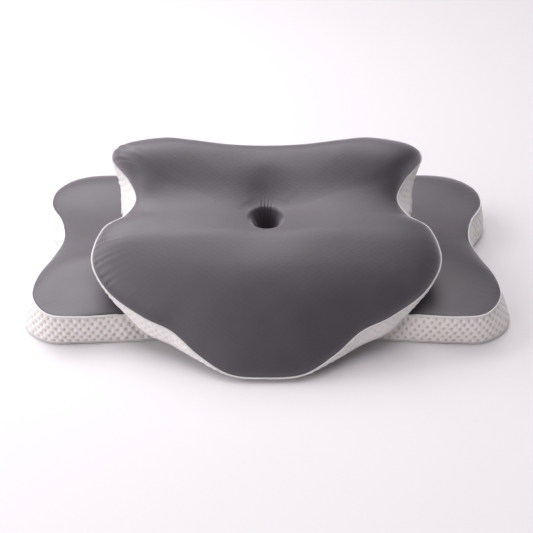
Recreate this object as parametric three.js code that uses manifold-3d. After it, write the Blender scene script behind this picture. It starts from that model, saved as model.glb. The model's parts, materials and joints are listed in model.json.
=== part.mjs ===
// Two-piece set of butterfly-shaped cervical support pillows: a large one that lies flat and a small
// one that leans on it, nose down. Millimetres, +Z up, nose towards -Y. Each pillow is a foam core in
// an inner liner and a zipped cover, and its own origin is the middle of the hollow, on the base.

import * as THREE from 'three';
import { mergeVertices } from 'three/addons/utils/BufferGeometryUtils.js';
import Module from 'manifold-3d';

const wasm = await Module();
wasm.setup();

// ---------------------------------------------------------------- driving dimensions

const SAMPLES = 48;            // points round every outline
const FABRIC = 2.0;            // thickness of the padded cover fabric
const LINER_IN = 2.75;         // depth of the liner's outer face below the cover's outer face
const LINER = 0.8;             // thickness of the liner
const FOAM_IN = 3.95;          // depth of the foam's skin below the cover's outer face
const HOLLOW_DISH = 10;        // depth of the wide dish round the hollow
const CAVITY_FLOOR = 9;        // height of the bottom of the sewn-in hollow
const SEAM_HALF = 0.6;         // half the height of a sewn seam
const SEAM_GAP = 0.9;          // from a seam's middle to the edge of the fabric beside it
const SEAM_SKIN = 0.2;         // a seam lies this far below the cover's face, and reaches this deep
const SEAM_DEPTH = 1.6;
const FOOT_SEAM = [0.3, 2.3];  // lowest and highest level of the seam round the base
const EDGE_POWER = 6;          // how late the top turns down to its seam
const EDGE_ROUND = 0.6;
const ROLL_BLEND = 60;         // over this length the neck roll's front slope becomes its back slope
const SEAM_DROP = 3.0;         // how far a pressed seam lies below the top beside it
const EDGE_TURN = 0.97;        // share of the outline where the top starts to turn down to its seam
const PANEL_INSET = 0.4;       // the base panel stops this far inside the cover fabric
const LINER_HEM = 0.8;         // how far in the liner's hem reaches under the foam, 1 is the wall

const TILT = THREE.MathUtils.degToRad(26.6);   // how far the small pillow leans back
const LARGE_Y = -10;
const SMALL_TIP_Y = -229.5;                    // where the tip of the small pillow's base stands
const REST_GAP = 1.8;                          // left between the two pillows where they lie together

// An outline runs from the middle of the nose to the middle of the back, on the +X side. Each row is
// x, y, height of the seam, flare of the wall's foot and bulge of the wall, both outward.
const SMALL = {
  name: 'small',
  outline: [
    [0, -194, 10, -4, 1],
    [44, -190, 11, -4, 1],
    [81, -168, 18, 0, 2],
    [112, -142, 26, 7, 2],
    [148, -124, 29, 6, 2],
    [190, -92.5, 32, -9, 3],
    [212, -51, 34, -14, 4],
    [202, -7, 34, -6, 3],
    [176, 13, 34, 14, 2],
    [164, 37, 34, 25, 1],
    [176, 67, 33, 16, 1],
    [199, 99, 32, -7, 2],
    [188, 119, 31, -6, 2],
    [142, 130, 30, -2, 1],
  ],
  back: { y: 118, radius: 600, stops: [105, 53, 0], seam: 30 },
  crown: {
    front: -198, halfWidth: 213, nose: 26, head: 44, shoulderLift: 4,
    roll: 40, rollY: -45, rollFront: 115, rollBack: 60, rollSide: 0.62, rollPower: 2.6,
    ridge: 20, ridgeWidth: 50, ridgeSide: 1.35, ridgeIn: 12,
  },
  hollowLip: 20,
  zip: { level: 14, half: 84 },
};

const LARGE = {
  name: 'large',
  outline: [
    [0, -118, 29, 4, 1],
    [60, -121, 30, 8, 1],
    [110, -129, 31, 14, 1],
    [150, -138, 34, 14, 2],
    [188, -149, 39, 5, 3],
    [230, -158, 43, -2, 2],
    [266, -152, 43, 4, 2],
    [289, -120, 44, 16, 3],
    [290, -78, 45, 18, 3],
    [277, -30, 45, 10, 3],
    [271, 8, 45, 8, 3],
    [281, 52, 45, 8, 3],
    [302, 96, 45, 8, 3],
    [300, 140, 45, 6, 3],
    [272, 170, 45, 2, 2],
    [228, 176, 45, 0, 1],
  ],
  back: { y: 160, radius: 1600, stops: [150, 75, 0], seam: 43 },
  crown: {
    front: -135, halfWidth: 300, nose: 34, head: 46, shoulderLift: 14,
    roll: 30, rollY: -52, rollFront: 52, rollBack: 70, rollSide: 0.55, rollPower: 2,
    ridge: 17, ridgeWidth: 45, ridgeSide: 1.15, ridgeIn: 8,
  },
  hollowLip: 26,
  zip: { level: 20, half: 125 },
  pressed: { y: -155, halfWidth: 174, widening: 0.9, fade: 46 },   // where the small pillow lies on it
};

// Rows of the top, from the middle out: rings round the hollow in lip radii, then shares of the outline.
const HOLLOW_RINGS = [0.25, 0.75, 1.3, 1.9];
const TOP_RINGS = [0.46, 0.62, 0.78, 0.9, EDGE_TURN];
const WALL_MIDDLE = 0.45;      // height of the wall's middle row, as a share of the seam's height

const COIL_RADIUS = 0.8;
const COIL_OFF = 1.6;          // from the zip's middle line to a coil's centre
const TAPE = { from: 2.7, to: 5.7, out: -0.1, in: -0.9 };
const SLOT = { half: 6, reach: 4, over: 5 };   // the zip's opening in the side band
const PLATE = { length: 9, half: 3.2, inner: [-2.0, -1.2], outer: [1.2, 2.0] };
const NECK = { length: 2.4, height: 1.0 };
const BRIDGE = { half: 3.1, post: 1.0, top: 4.5, opening: 3.9, height: 1.6 };
const PIVOT_OUT = 3.0;         // the puller's bar, outside the wall
const PULLER = { bar: 0.7, arm: 3.9, length: 21, half: 3.1, slit: 1.1, thick: 1.2, tip: 2.4 };
const STOP = { length: 3, half: 2.6, depth: 1.1 };
const SLIDER_REST = 7;         // the slider stays this far inside each end stop

// ---------------------------------------------------------------- materials

const materials = {
  knit: new THREE.MeshStandardMaterial({ color: 0x6e6870, roughness: 0.92, metalness: 0 }),
  bubbleKnit: new THREE.MeshStandardMaterial({ color: 0xe6dfda, roughness: 0.9, metalness: 0 }),
  base: new THREE.MeshStandardMaterial({ color: 0xdcd6d2, roughness: 0.95, metalness: 0 }),
  liner: new THREE.MeshStandardMaterial({ color: 0xf1efec, roughness: 0.95, metalness: 0 }),
  foam: new THREE.MeshStandardMaterial({ color: 0xf0e6cf, roughness: 1, metalness: 0 }),
  thread: new THREE.MeshStandardMaterial({ color: 0xcfc8c6, roughness: 0.85, metalness: 0 }),
  tape: new THREE.MeshStandardMaterial({ color: 0xdedad7, roughness: 0.9, metalness: 0 }),
  coil: new THREE.MeshStandardMaterial({ color: 0xe9e7e4, roughness: 0.4, metalness: 0 }),
  metal: new THREE.MeshStandardMaterial({ color: 0xb9bbbf, roughness: 0.3, metalness: 1 }),
};

// ---------------------------------------------------------------- solids from rows of points

const smooth = (t) => THREE.MathUtils.smoothstep(t, 0, 1);

function centreOf(row) {
  const sum = new THREE.Vector3();
  row.forEach((point) => sum.add(point));
  return sum.divideScalar(row.length);
}

// Joins faces, each a list of rows of points, into one closed surface. Every face runs the same way, so
// that nested faces are split into triangles alike. Two faces join at their last rows. At the first rows
// they join too, or each is closed to a point; a single face is closed to a point at both ends.
function loft(faces, ring = false) {
  const count = faces[0][0].length;
  const points = faces.flat(2);
  const index = [];
  const strip = (a, b, turned) => {
    for (let i = 0; i < count; i += 1) {
      const j = (i + 1) % count;
      const pair = [[a + i, b + i, b + j], [a + i, b + j, a + j]];
      pair.forEach(([u, v, w]) => index.push(...(turned ? [u, w, v] : [u, v, w])));
    }
  };
  const cap = (start, turned) => {
    const tip = points.push(centreOf(points.slice(start, start + count))) - 1;
    for (let i = 0; i < count; i += 1) {
      const pair = [start + i, start + (i + 1) % count];
      index.push(tip, ...(turned ? pair.reverse() : pair));
    }
  };
  const starts = faces.map((_, f) => faces.slice(0, f).flat().length * count);
  const ends = faces.map((face, f) => starts[f] + (face.length - 1) * count);
  faces.forEach((face, f) => {
    for (let r = 0; r < face.length - 1; r += 1) {
      strip(starts[f] + r * count, starts[f] + (r + 1) * count, f === 1);
    }
    if (!ring) cap(starts[f], f === 1);
  });
  if (faces.length === 2) strip(ends[0], ends[1], false);
  else if (!ring) cap(ends[0], true);
  if (ring) strip(faces.length === 2 ? starts[1] : ends[0], starts[0], false);
  const geometry = new THREE.BufferGeometry().setFromPoints(points);
  geometry.setIndex(signedVolume(points, index) < 0 ? index.reverse() : index);
  return geometry;
}

function signedVolume(points, index) {
  let sum = 0;
  const across = new THREE.Vector3();
  for (let t = 0; t < index.length; t += 3) {
    across.crossVectors(points[index[t + 1]], points[index[t + 2]]);
    sum += points[index[t]].dot(across);
  }
  return sum / 6;
}

function toManifold(geometry) {
  const bare = geometry.clone();
  bare.deleteAttribute('normal');
  bare.deleteAttribute('uv');
  const merged = mergeVertices(bare, 1e-4);
  return new wasm.Manifold(new wasm.Mesh({
    numProp: 3,
    vertProperties: new Float32Array(merged.attributes.position.array),
    triVerts: new Uint32Array(merged.index.array),
  }));
}

function toGeometry(solid) {
  const mesh = solid.getMesh();
  const geometry = new THREE.BufferGeometry();
  geometry.setAttribute('position', new THREE.BufferAttribute(new Float32Array(mesh.vertProperties), 3));
  geometry.setIndex(new THREE.BufferAttribute(new Uint32Array(mesh.triVerts), 1));
  return geometry;
}

function joined(...geometries) {
  const solids = geometries.map(toManifold);
  return toGeometry(solids.reduce((whole, next) => whole.add(next)));
}

function cut(geometry, ...tools) {
  return toGeometry(tools.map(toManifold).reduce((left, tool) => left.subtract(tool), toManifold(geometry)));
}

// ---------------------------------------------------------------- one pillow's shape

function mirroredOutline(pillow) {
  const { y, radius, stops, seam } = pillow.back;
  const arc = stops.map((x) => [x, y + radius - Math.sqrt(radius ** 2 - x ** 2), seam, 0, 0]);
  const right = [...pillow.outline, ...arc];
  const left = right.slice(1, -1).reverse().map(([x, ...rest]) => [-x, ...rest]);
  return [...right, ...left];
}

// The seam's points with their outward direction, angle about the hollow, and wall. Where the top is
// pressed, the seam lies lower than the top beside it.
function outlineOf(pillow) {
  const rows = mirroredOutline(pillow);
  const seam = new THREE.CatmullRomCurve3(
    rows.map(([x, y, z]) => new THREE.Vector3(x, y, z)), true, 'catmullrom');
  const wall = new THREE.CatmullRomCurve3(
    rows.map(([, , , flare, bulge]) => new THREE.Vector3(flare, bulge, 0)), true, 'catmullrom');
  return Array.from({ length: SAMPLES }, (_, i) => {
    const t = i / SAMPLES;
    const point = seam.getPoint(t);
    const along = seam.getTangent(t).setZ(0).normalize();
    const shape = wall.getPoint(t);
    const beside = pressed(pillow, point.x * EDGE_TURN, point.y * EDGE_TURN, point.z);
    return {
      at: point.clone().setZ(0),
      out: new THREE.Vector3(along.y, -along.x, 0),
      angle: Math.atan2(point.y, point.x),
      seam: Math.min(
        pressed(pillow, point.x, point.y, point.z),
        beside - Math.min(SEAM_DROP, point.z - beside),
      ),
      flare: shape.x,
      bulge: shape.y,
    };
  });
}

// Where the small pillow's flat base lies on the large one, it presses the top down to its own plane.
function pressed(pillow, x, y, z) {
  if (!pillow.pressed) return z;
  const { halfWidth, widening, fade, y: front } = pillow.pressed;
  const plane = (y + LARGE_Y - SMALL_TIP_Y) * Math.tan(TILT) - REST_GAP;
  const share = smooth(1 + (halfWidth + widening * (y - front) - Math.abs(x)) / fade);
  return z - share * Math.max(0, z - plane);
}

// Height of the padded top away from its edge: a neck roll, a head bowl behind it and a back ridge.
function crownHeight(pillow, x, y) {
  const { front, halfWidth, nose, head, shoulderLift, ...c } = pillow.crown;
  const back = smooth((y - front) / (pillow.back.y - front));
  const side = smooth((Math.abs(x) / halfWidth) * 1.05);
  const behind = smooth((y - c.rollY) / ROLL_BLEND + 0.5);
  const spread = THREE.MathUtils.lerp(c.rollFront, c.rollBack, behind);
  const power = THREE.MathUtils.lerp(c.rollPower, 2, behind);
  const swell = Math.exp(-(Math.abs((y - c.rollY) / spread) ** power));
  const roll = c.roll * swell * THREE.MathUtils.lerp(1, c.rollSide, side);
  const fromRidge = (y - pillow.back.y + c.ridgeIn * side) / c.ridgeWidth;
  const ridge = c.ridge * Math.exp(-(fromRidge ** 2)) * THREE.MathUtils.lerp(1, c.ridgeSide, side);
  return nose + (head - nose) * back + shoulderLift * side * (1 - back) + roll + ridge;
}

// The hollow is a wide dish with a steep-sided well in its middle, which has a flat floor.
function hollowed(pillow, z, distance) {
  const lip = pillow.hollowLip;
  const dish = HOLLOW_DISH * Math.exp(-((distance / (2.3 * lip)) ** 2));
  const well = 1 - smooth((distance - 0.25 * lip) / (0.95 * lip));
  return THREE.MathUtils.lerp(z - dish, CAVITY_FLOOR, well);
}

function topHeight(pillow, x, y, seam, edge) {
  const full = seam + (crownHeight(pillow, x, y) - seam) * edge;
  return hollowed(pillow, pressed(pillow, x, y, full), Math.hypot(x, y));
}

// Rows of the top surface, moved in by a depth: down, in from the wall and out from the hollow.
function hollowRow(pillow, ring, depth) {
  const radius = ring * pillow.hollowLip;
  return pillow.samples.map(({ angle }) => {
    const x = Math.cos(angle);
    const y = Math.sin(angle);
    const z = topHeight(pillow, radius * x, radius * y, 0, 1) - depth;
    return new THREE.Vector3((radius + depth) * x, (radius + depth) * y, z);
  });
}

function topRow(pillow, share, depth) {
  const blend = smooth(share / 0.55);
  const edge = (1 - share ** EDGE_POWER) ** EDGE_ROUND;
  return pillow.samples.map(({ at, out, angle, seam }) => {
    const round = new THREE.Vector3(Math.cos(angle), Math.sin(angle), 0).multiplyScalar(pillow.meanRadius);
    const plan = round.clone().lerp(at, blend).multiplyScalar(share);
    const z = topHeight(pillow, plan.x, plan.y, seam, edge) - depth;
    return round.lerp(at.clone().addScaledVector(out, -depth), blend).multiplyScalar(share).setZ(z);
  });
}

function topRows(pillow, depth, firstRing = 0) {
  return [
    ...HOLLOW_RINGS.slice(firstRing).map((ring) => hollowRow(pillow, ring, depth)),
    ...TOP_RINGS.map((share) => topRow(pillow, share, depth)),
  ];
}

// How far the wall stands out from the seam at a height: it bulges at its middle and flares at its foot.
function wallOut({ seam, flare, bulge }, z) {
  const level = WALL_MIDDLE * seam;
  const middle = WALL_MIDDLE * flare + bulge;
  if (z > level) return middle * Math.max(0, (seam - z) / (seam - level));
  return THREE.MathUtils.lerp(flare, middle, z / level);
}

function wallRow(pillow, depth, heightAt) {
  return pillow.samples.map((sample) => {
    const z = heightAt(sample);
    return sample.at.clone().addScaledVector(sample.out, wallOut(sample, z) - depth).setZ(z);
  });
}

const seamRow = (pillow, depth, rise) => wallRow(pillow, depth, ({ seam }) => seam + rise);
const middleRow = (pillow, depth) => wallRow(pillow, depth, ({ seam }) => WALL_MIDDLE * seam);
const footRow = (pillow, depth, level) => wallRow(pillow, depth, () => level);

// ---------------------------------------------------------------- pieces of the pillow and its cover

function foamCore(pillow) {
  const hole = hollowRow(pillow, HOLLOW_RINGS[0], FOAM_IN).map((point) => point.clone().setZ(FOAM_IN));
  return loft([[hole, ...bodyRows(pillow, FOAM_IN)]], true);
}

// The rows of a body that fills the cover at a depth: its top, its seam edge, its wall and its foot.
function bodyRows(pillow, depth, firstRing = 0) {
  return [
    ...topRows(pillow, depth, firstRing),
    seamRow(pillow, depth, -depth),
    middleRow(pillow, depth),
    footRow(pillow, depth, depth),
  ];
}

// The liner wraps the foam's top and sides, with a hem turned under and an opening at the hollow.
function innerLiner(pillow) {
  const shrink = new THREE.Vector3(LINER_HEM, LINER_HEM, 1);
  const face = (depth) => {
    const hem = footRow(pillow, depth, depth).map((point) => point.multiply(shrink));
    return [...bodyRows(pillow, depth, 1), hem];
  };
  return loft([face(LINER_IN), face(LINER_IN + LINER)], true);
}

function topPanel(pillow) {
  const face = (depth) => [...topRows(pillow, depth), seamRow(pillow, depth, SEAM_GAP)];
  return loft([face(0), face(FABRIC)]);
}

function sideBand(pillow) {
  const { level, half } = pillow.zip;
  const reach = (half + SLOT.over) / pillow.back.radius;
  const face = (depth) => [
    seamRow(pillow, depth, -SEAM_GAP),
    middleRow(pillow, depth),
    footRow(pillow, depth, FOOT_SEAM[1] + 0.3),
  ];
  const opening = ribbon(
    pillow, [-reach, reach], [-SLOT.reach, SLOT.reach], [level - SLOT.half, level + SLOT.half]);
  return cut(loft([face(0), face(FABRIC)], true), opening);
}

function bottomPanel(pillow) {
  const edge = FABRIC + PANEL_INSET;
  return loft([[footRow(pillow, edge, 0), footRow(pillow, edge, FABRIC)]]);
}

function topSeam(pillow) {
  const face = (depth) => [seamRow(pillow, depth, SEAM_HALF), seamRow(pillow, depth, -SEAM_HALF)];
  return loft([face(SEAM_SKIN), face(SEAM_DEPTH)], true);
}

function bottomSeam(pillow) {
  const [low, high] = FOOT_SEAM;
  const face = (depth) => [footRow(pillow, depth, high), footRow(pillow, depth, low)];
  return loft([face(SEAM_SKIN), face(SEAM_DEPTH)], true);
}

// The stitched tab that holds the bottom of the hollow down to the bottom panel.
function centreTie() {
  const low = FABRIC + 0.3;
  const high = CAVITY_FLOOR - FABRIC - 0.3;
  const tab = new THREE.CylinderGeometry(4, 5, high - low, 12);
  return tab.rotateX(Math.PI / 2).translate(0, 0, (low + high) / 2);
}

// ---------------------------------------------------------------- zip along the back edge

// A point beside the back arc: angle along it, distance out from the wall, and height.
function backPoint(pillow, angle, out, z) {
  const { y, radius } = pillow.back;
  const reach = radius - out;
  return new THREE.Vector3(reach * Math.sin(angle), y + radius - reach * Math.cos(angle), z);
}

// A bar that follows the back arc, with a section given as pairs of distance out and height.
function alongArc(pillow, [from, to], section, steps = 12) {
  return loft([Array.from({ length: steps + 1 }, (_, k) => {
    const angle = THREE.MathUtils.lerp(from, to, k / steps);
    return section.map(([out, z]) => backPoint(pillow, angle, out, z));
  })]);
}

function ribbon(pillow, span, [near, far], [low, high]) {
  return alongArc(pillow, span, [[near, low], [far, low], [far, high], [near, high]]);
}

function zipTape(pillow, side) {
  const { level, half } = pillow.zip;
  const reach = (half + SLOT.over - 0.4) / pillow.back.radius;
  const levels = [level + side * TAPE.from, level + side * TAPE.to].sort((a, b) => a - b);
  return ribbon(pillow, [-reach, reach], [TAPE.in, TAPE.out], levels);
}

function zipCoil(pillow, side) {
  const { level, half } = pillow.zip;
  const reach = half / pillow.back.radius;
  const section = Array.from({ length: 8 }, (_, k) => {
    const turn = (k / 8) * 2 * Math.PI;
    return [COIL_RADIUS * Math.cos(turn), level + side * COIL_OFF + COIL_RADIUS * Math.sin(turn)];
  });
  return alongArc(pillow, [-reach, reach], section);
}

function zipStop(pillow, end) {
  const { level, half } = pillow.zip;
  const near = (half + 0.4) / pillow.back.radius;
  const far = (half + 0.4 + STOP.length) / pillow.back.radius;
  const span = end < 0 ? [-far, -near] : [near, far];
  const levels = [level - STOP.half, level + STOP.half];
  return alongArc(pillow, span, [
    [-STOP.depth, levels[0]],
    [STOP.depth, levels[0]],
    [STOP.depth, levels[1]],
    [-STOP.depth, levels[1]],
  ], 2);
}

function block([x0, x1], [y0, y1], [z0, z1]) {
  const box = new THREE.BoxGeometry(x1 - x0, y1 - y0, z1 - z0);
  return box.translate((x0 + x1) / 2, (y0 + y1) / 2, (z0 + z1) / 2);
}

// The slider in its own frame: +X along the zip, +Y out of the wall, +Z across the zip.
function zipSlider() {
  const half = PLATE.length / 2;
  const plate = ([near, far]) => {
    const shape = new THREE.Shape()
      .moveTo(-half + 1.5, -PLATE.half)
      .lineTo(half, -PLATE.half * 0.75)
      .lineTo(half, PLATE.half * 0.75)
      .lineTo(-half + 1.5, PLATE.half)
      .lineTo(-half, PLATE.half * 0.5)
      .lineTo(-half, -PLATE.half * 0.5);
    const solid = new THREE.ExtrudeGeometry(shape, { depth: far - near, bevelEnabled: false });
    return solid.rotateX(Math.PI / 2).translate(0, far, 0);
  };
  const neck = block([-half + 0.8, -half + 0.8 + NECK.length], [-1.5, 1.5], [-NECK.height / 2, NECK.height / 2]);
  const width = [-BRIDGE.height / 2, BRIDGE.height / 2];
  const front = block([BRIDGE.half - BRIDGE.post, BRIDGE.half], [1.8, BRIDGE.top], width);
  const rear = block([-BRIDGE.half, -BRIDGE.half + BRIDGE.post], [1.8, BRIDGE.top], width);
  const top = block([-BRIDGE.half, BRIDGE.half], [BRIDGE.opening + 0.1, BRIDGE.top + 0.4], width);
  return joined(plate(PLATE.outer), plate(PLATE.inner), neck, front, rear, top);
}

// The puller in the slider's frame, lying along +X, with its bar through the slider's bridge.
function zipPuller() {
  const { bar, arm, length, half, slit, thick, tip } = PULLER;
  const outline = new THREE.Shape()
    .moveTo(0, -half)
    .lineTo(length - 7, -half)
    .absarc(length - half, 0, half, -Math.PI / 2, Math.PI / 2)
    .lineTo(0, half);
  const hole = new THREE.Path().absarc(length - half, 0, tip - 1, 0, 2 * Math.PI, true);
  outline.holes.push(hole);
  const blade = new THREE.ExtrudeGeometry(outline, { depth: thick, bevelEnabled: false, curveSegments: 8 });
  blade.rotateX(Math.PI / 2).translate(0, thick / 2, 0);
  const eye = block([-2, arm], [-thick, thick], [-slit, slit]);
  const rod = new THREE.CylinderGeometry(bar, bar, 2 * half, 8).rotateX(Math.PI / 2);
  return toGeometry(toManifold(blade).subtract(toManifold(eye)).add(toManifold(rod)))
    .translate(0, PIVOT_OUT, 0);
}

// ---------------------------------------------------------------- assembly

function named(name, geometry, material) {
  const mesh = new THREE.Mesh(geometry, material);
  mesh.name = name;
  return mesh;
}

function zip(pillow) {
  const { name } = pillow;
  const group = new THREE.Group();
  group.add(
    named(`${name}_zip_tape_upper`, zipTape(pillow, 1), materials.tape),
    named(`${name}_zip_tape_lower`, zipTape(pillow, -1), materials.tape),
    named(`${name}_zip_coil_upper`, zipCoil(pillow, 1), materials.coil),
    named(`${name}_zip_coil_lower`, zipCoil(pillow, -1), materials.coil),
    named(`${name}_zip_closed_stop`, zipStop(pillow, -1), materials.metal),
    named(`${name}_zip_open_stop`, zipStop(pillow, 1), materials.metal),
  );
  const angle = -(pillow.zip.half - SLIDER_REST) / pillow.back.radius;
  const slider = new THREE.Group();
  slider.position.copy(backPoint(pillow, angle, 0, pillow.zip.level));
  slider.rotation.z = angle;
  slider.add(
    named(`${name}_zip_slider`, zipSlider(), materials.metal),
    named(`${name}_zip_puller`, zipPuller(), materials.metal),
  );
  group.add(slider);
  return group;
}

function buildPillow(pillow) {
  pillow.samples = outlineOf(pillow);
  pillow.meanRadius = pillow.samples.reduce((sum, s) => sum + s.at.length(), 0) / SAMPLES;
  const { name } = pillow;
  const group = new THREE.Group();
  group.add(
    named(`${name}_foam_core`, foamCore(pillow), materials.foam),
    named(`${name}_inner_liner`, innerLiner(pillow), materials.liner),
    named(`${name}_top_panel`, topPanel(pillow), materials.knit),
    named(`${name}_side_band`, sideBand(pillow), materials.bubbleKnit),
    named(`${name}_bottom_panel`, bottomPanel(pillow), materials.base),
    named(`${name}_top_seam`, topSeam(pillow), materials.thread),
    named(`${name}_bottom_seam`, bottomSeam(pillow), materials.thread),
    named(`${name}_centre_tie`, centreTie(), materials.thread),
    zip(pillow),
  );
  return group;
}

const object = new THREE.Group();

const large = buildPillow(LARGE);
large.position.y = LARGE_Y;
object.add(large);

// The small pillow turns about the tip of its base, which stands on the floor.
const small = buildPillow(SMALL);
const baseTip = SMALL.outline[0][1] - SMALL.outline[0][3];
small.rotation.x = TILT;
small.position.set(0, SMALL_TIP_Y - baseTip * Math.cos(TILT), -baseTip * Math.sin(TILT));
object.add(small);

// The whole set stands on z = 0 with its box centred on the origin.
object.updateMatrixWorld(true);
const box = new THREE.Box3().setFromObject(object, true);
const middle = box.getCenter(new THREE.Vector3());
object.position.set(-middle.x, -middle.y, -box.min.z);

export default object;
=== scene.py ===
"""Looks for a set of two butterfly-shaped neck pillows: knit covers, seams, zips, foam and liner.

Shapes are worked out in each pillow's own frame, in millimetres, with the origin in the middle of the
hollow on the base, +Y towards the back and +Z up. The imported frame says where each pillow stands.
"""

import json
import math

import bpy
import numpy as np
from mathutils import Matrix, Vector


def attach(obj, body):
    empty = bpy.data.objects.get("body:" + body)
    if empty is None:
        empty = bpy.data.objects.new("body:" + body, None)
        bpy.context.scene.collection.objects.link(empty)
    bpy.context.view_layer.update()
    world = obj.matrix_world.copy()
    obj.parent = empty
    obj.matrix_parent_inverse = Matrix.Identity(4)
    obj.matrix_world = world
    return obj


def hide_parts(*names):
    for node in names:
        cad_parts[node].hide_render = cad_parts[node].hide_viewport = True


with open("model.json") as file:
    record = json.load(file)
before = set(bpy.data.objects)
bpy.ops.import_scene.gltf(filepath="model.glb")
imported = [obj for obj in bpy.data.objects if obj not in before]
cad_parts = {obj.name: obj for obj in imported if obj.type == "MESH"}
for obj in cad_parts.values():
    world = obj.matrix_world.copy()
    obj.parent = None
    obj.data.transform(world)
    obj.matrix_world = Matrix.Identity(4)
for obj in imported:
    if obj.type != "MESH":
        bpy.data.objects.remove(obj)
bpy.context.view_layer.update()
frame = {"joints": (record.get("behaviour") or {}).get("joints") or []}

MM = 0.001
TAU = 2 * math.pi
SEED = 7

# ---------------- driving dimensions
# As in the CAD, apart from HOLLOW_PULL and the small pillow's ridge_width, which is 50 there.

FABRIC = 2.0             # thickness of the padded cover
LINER_IN = 2.75          # depth of the liner's outer face below the cover's face
LINER = 0.8              # thickness of the liner
FOAM_IN = 3.95           # depth of the foam's skin below the cover's face
HOLLOW_DISH = 10.0       # depth of the dish round the hollow
HOLLOW_PULL = 4.5        # how far the gathered cloth behind the hollow is drawn down
CAVITY_FLOOR = 9.0       # height of the hollow's floor above the base
SEAM_GAP = 0.9           # from a seam's middle to the edge of the fabric beside it
FOOT_SEAM = (0.3, 2.3)   # lowest and highest point of the bottom seam
EDGE_POWER = 6           # the top turns down to the seam as (1 - share ** power) ** round
EDGE_ROUND = 0.6
LINER_HEM = 0.8          # the liner reaches under the foam to this share of the outline
WALL_MIDDLE = 0.45       # share of the wall's height where its bulge is measured
DISH_END = 1.9           # where the dish's rings end, in lip radii
FIRST_SHARE = 0.46       # the innermost row that follows the outline
ROLL_BLEND = 60.0        # over this length the neck roll's front slope turns into its back slope
BODY_SAMPLES = 240       # points round the foam and the liner
SMALL_TIP_Y = -219.5     # in the large pillow's frame, where the tip of the small one's base stands
REST_GAP = 1.0           # left between the two covers where they lie together
REST_FADE = 12.0         # how far beside the small pillow's base the large one's top is drawn down
PANEL_INSET = 0.4        # from the base panel's edge to the band's inner face
SLOT_HALF = 6.0          # half the height of the zip's slot
SLOT_OVER = 5.0          # how far the slot reaches past each end of the zip
TAPE = {"from": 2.7, "to": 5.7, "out": -0.1, "in": -0.9}
COIL_OFF = 1.6           # from the zip's middle to the middle of each coil
COIL_RADIUS = 0.8
PIVOT_OUT = 3.0          # how far the puller's pivot stands out of the wall
SLIDER_REST = 7.0        # from the closed end of the zip to the slider at rest

# ---------------- relief of the covers, in millimetres

SAG = (0.35, 90)         # depth and width of the padding's unevenness
PUCKER_LEAST = 0.08      # depth of the seam's puckers away from the gathered corners
PUCKER_WAVES = (6, 12)   # shortest and longest pucker along the seam
PUCKER_REACH = 11.0      # how far in from the seam a pucker fades
PLEAT_SOFT = 0.45
PLEAT_WIDTH = 1.1
PLEAT_PLACES = (-0.3, -0.08, 0.13, 0.36)  # in lip radii across the hollow's back wall
PLEAT_DEPTHS = (1.5, 1.9, 1.7, 1.2)
BUBBLE_PITCH = (9.8, 12.4)
BUBBLE_DEPTH = 2.2
BAND_FADE = 3.2          # the band's bubbles flatten this near its seams
BAND_SWAY = (0.25, 14, 40)  # depth, and shortest and longest wave
BAND_FOLDS = (0.5, 4, 8)
SLOT_FADE = 2.5          # the band's bubbles flatten this near the zip's slot
TOP_SEAM = (-0.4, 1.3)   # depth in the wall and radius
LOW_SEAM = (0.9, 0.78)
SEAM_STITCH = (0.12, 2.6)  # depth and length of a stitch
SEAM_SWAY = (0.12, 8, 25)

# ---------------- the cloth run

CLOTH_COLUMNS = 160
CLOTH_FRAMES = 20
CLOTH_PRESSURE = 2.0
CLOTH_STIFFNESS = 20.0
CLOTH_BENDING = 5.0
CLOTH_CAP = 3.0          # the most that the run may move a point, in millimetres
CLOTH_SMOOTHING = 3      # rounds of smoothing from the well to the seam
CLOTH_WAVES = 16         # folds finer than this many round the cover are smoothed away
CLOTH_SINK = 0.6         # the most that a point may sink
LOAD_FADE = 30.0         # the run fades out this near a pillow that rests on the top

# ---------------- colours, light and camera

KNIT_PITCH = (9.6, 6.4)
KNIT_DARK = (0.036, 0.029, 0.037)
KNIT_LIGHT = (0.056, 0.046, 0.057)
KNIT_WORN = (0.062, 0.052, 0.063)
# painted shade for the hollows of the knit's dimples
KNIT_HOLLOW_SHADE = (0.026, 0.021, 0.027)
BUBBLE_WHITE = (0.93, 0.9, 0.89)
BUBBLE_SHADE = (0.85, 0.815, 0.8)
# painted shade in the bubble knit's pits, tinted tan
BUBBLE_PIT_SHADE = (0.62, 0.51, 0.43)
SHEEN_ROUGHNESS = 0.45

FLOOR_HALF = 14.0        # half the floor's side, in metres
FLOOR_DROP = 0.0002      # keeps the floor clear of the large pillow's base
FLOOR_TONES = ((0.74, 0.715, 0.735), (0.76, 0.735, 0.75))
SKY_TINT = (1.0, 0.97, 1.0, 1)
SKY_STRENGTH = 0.2
LIGHT_TARGET = (0, 0, 0.05)
LIGHT_TINT = (1, 0.975, 1)
LIGHTS = (               # name, bearing and height in degrees, distance, diameter, watts
    ("overhead", 0, 90, 6.0, 4.8, 165),
    ("key", 145, 45, 1.5, 1.0, 11),
    ("left_low", 180, 25, 4.0, 2.4, 54),
    ("left_front", 225, 28, 4.0, 2.4, 34),
    ("behind", 90, 55, 4.0, 2.4, 44),
)
CAMERA_AWAY = 1.365
CAMERA_UP = math.radians(35)
CAMERA_TARGET = (0, 0.0355, 0)
CAMERA_LENS = 67.3

# ---------------- the two pillows

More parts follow.
